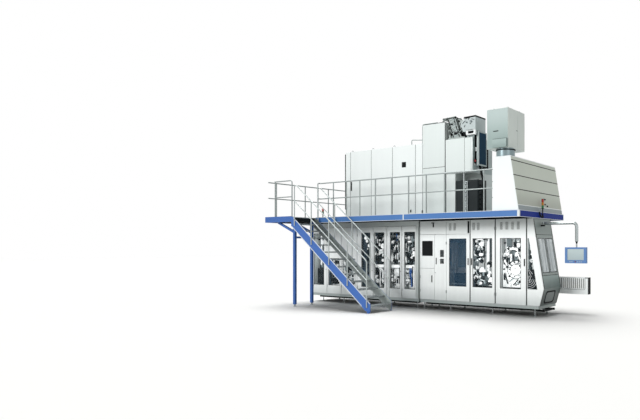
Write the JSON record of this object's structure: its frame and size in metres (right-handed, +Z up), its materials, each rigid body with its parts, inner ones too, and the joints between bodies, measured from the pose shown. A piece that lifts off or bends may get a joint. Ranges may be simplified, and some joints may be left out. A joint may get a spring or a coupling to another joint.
{
  "type": "aseptic carton filling machine",
  "caption": "Aseptic carton filling machine: glazed steel housings under a railed service deck, with stair, upper cabinets, air filter, operator panel and outfeed conveyor",
  "frame": {"origin": "on the floor, under the centre of the whole plant", "axes": "+X along the machine towards the outfeed, +Y towards the rear (the operator and the stair are at -Y), +Z up"},
  "size_m": [9.59, 3.94, 5.575],
  "materials": {
    "blue_paint": "satin",
    "dark_blue_paint": "satin",
    "chequer_plate": "satin",
    "galvanised_steel": "satin",
    "brushed_stainless": "satin",
    "rail_steel": "satin",
    "white_paint": "satin",
    "grey_paint": "satin",
    "dark_grey_paint": "satin",
    "machine_parts": "satin",
    "tinted_glass": "glossy",
    "lamp_lens": "glossy",
    "belt": "matte"
  },
  "bodies": {
    "machine": {"deck_plates": "chequer_plate", "deck_beams": "galvanised_steel", "front_fascia": "blue_paint", "end_fascia": "dark_blue_paint", "rear_fascia": "blue_paint", "landing_fascia": "blue_paint", "landing_legs": "blue_paint", "stair_stringers": "blue_paint", "stair_treads": "galvanised_steel", "near_handrail": "rail_steel", "far_handrail": "rail_steel", "walkway_rail": "rail_steel", "rear_rail": "rail_steel", "end_rail": "rail_steel", "landing_rail": "rail_steel", "machine_feet": "galvanised_steel", "base_frames": "grey_paint", "left_housing": "brushed_stainless", "right_housing": "brushed_stainless", "end_screen": "tinted_glass", "end_cover": "grey_paint", "side_panel": "white_paint", "upper_panels": "white_paint", "left_machinery": "machine_parts", "right_machinery": "machine_parts", "cabinet_row": "white_paint", "tall_cabinet": "white_paint", "filler_cabinet": "white_paint", "blower_cabinet": "dark_grey_paint", "glazed_screen": "tinted_glass", "motor_box": "grey_paint", "transfer_drive": "machine_parts", "cabinet_pipe": "rail_steel", "hood": "grey_paint", "filter_duct": "brushed_stainless", "filter_box": "white_paint", "end_signal": "lamp_lens", "landing_signal": "lamp_lens", "arm_bracket": "grey_paint", "conveyor_bed": "belt", "conveyor_guards": "brushed_stainless", "conveyor_stands": "galvanised_steel"},
    "left_door_1": {"left_door_1": "white_paint"},
    "left_door_2": {"left_door_2": "white_paint"},
    "left_door_3": {"left_door_3": "white_paint"},
    "left_door_4": {"left_door_4": "white_paint"},
    "left_door_5": {"left_door_5": "white_paint"},
    "left_door_6": {"left_door_6": "white_paint"},
    "left_door_7": {"left_door_7": "white_paint"},
    "cabinet_door": {"cabinet_door": "white_paint"},
    "control_door": {"control_door": "white_paint"},
    "glass_door": {"glass_door": "white_paint"},
    "forming_door": {"forming_door": "white_paint"},
    "wheel_door": {"wheel_door": "white_paint"},
    "panel_arm": {"panel_arm": "grey_paint"},
    "operator_panel": {"operator_panel": "blue_paint"}
  },
  "joints": [
    {"name": "left_door_1_hinge", "type": "hinge", "parent": "machine", "child": "left_door_1", "pos_m": [-4.577, -0.08, 1.4], "axis": [0, 0, 1], "range_deg": [-90, 0]},
    {"name": "left_door_2_hinge", "type": "hinge", "parent": "machine", "child": "left_door_2", "pos_m": [-3.924, -0.08, 1.4], "axis": [0, 0, 1], "range_deg": [-90, 0]},
    {"name": "left_door_3_hinge", "type": "hinge", "parent": "machine", "child": "left_door_3", "pos_m": [-3.278, -0.08, 1.4], "axis": [0, 0, 1], "range_deg": [-90, 0]},
    {"name": "left_door_4_hinge", "type": "hinge", "parent": "machine", "child": "left_door_4", "pos_m": [-2.591, -0.08, 1.4], "axis": [0, 0, 1], "range_deg": [-90, 0]},
    {"name": "left_door_5_hinge", "type": "hinge", "parent": "machine", "child": "left_door_5", "pos_m": [-1.919, -0.08, 1.4], "axis": [0, 0, 1], "range_deg": [-90, 0]},
    {"name": "left_door_6_hinge", "type": "hinge", "parent": "machine", "child": "left_door_6", "pos_m": [-1.373, -0.08, 1.4], "axis": [0, 0, 1], "range_deg": [-90, 0]},
    {"name": "left_door_7_hinge", "type": "hinge", "parent": "machine", "child": "left_door_7", "pos_m": [-0.791, -0.08, 1.4], "axis": [0, 0, 1], "range_deg": [-90, 0]},
    {"name": "cabinet_door_hinge", "type": "hinge", "parent": "machine", "child": "cabinet_door", "pos_m": [-0.108, -0.08, 1.4], "axis": [0, 0, 1], "range_deg": [-90, 0]},
    {"name": "control_door_hinge", "type": "hinge", "parent": "machine", "child": "control_door", "pos_m": [0.814, -0.08, 1.4], "axis": [0, 0, 1], "range_deg": [0, 90]},
    {"name": "glass_door_hinge", "type": "hinge", "parent": "machine", "child": "glass_door", "pos_m": [0.822, -0.08, 1.4], "axis": [0, 0, 1], "range_deg": [-90, 0]},
    {"name": "forming_door_hinge", "type": "hinge", "parent": "machine", "child": "forming_door", "pos_m": [2.388, -0.08, 1.4], "axis": [0, 0, 1], "range_deg": [0, 90]},
    {"name": "wheel_door_hinge", "type": "hinge", "parent": "machine", "child": "wheel_door", "pos_m": [2.424, -0.08, 1.4], "axis": [0, 0, 1], "range_deg": [-90, 0]},
    {"name": "panel_arm_swivel", "type": "hinge", "parent": "machine", "child": "panel_arm", "pos_m": [3.605, 0.41, 2.455], "axis": [0, 0, 1], "range_deg": [-60, 60]},
    {"name": "operator_panel_swivel", "type": "hinge", "parent": "panel_arm", "child": "operator_panel", "pos_m": [4.523, 0.41, 1.87], "axis": [0, 0, 1], "range_deg": [-60, 60]}
  ]
}
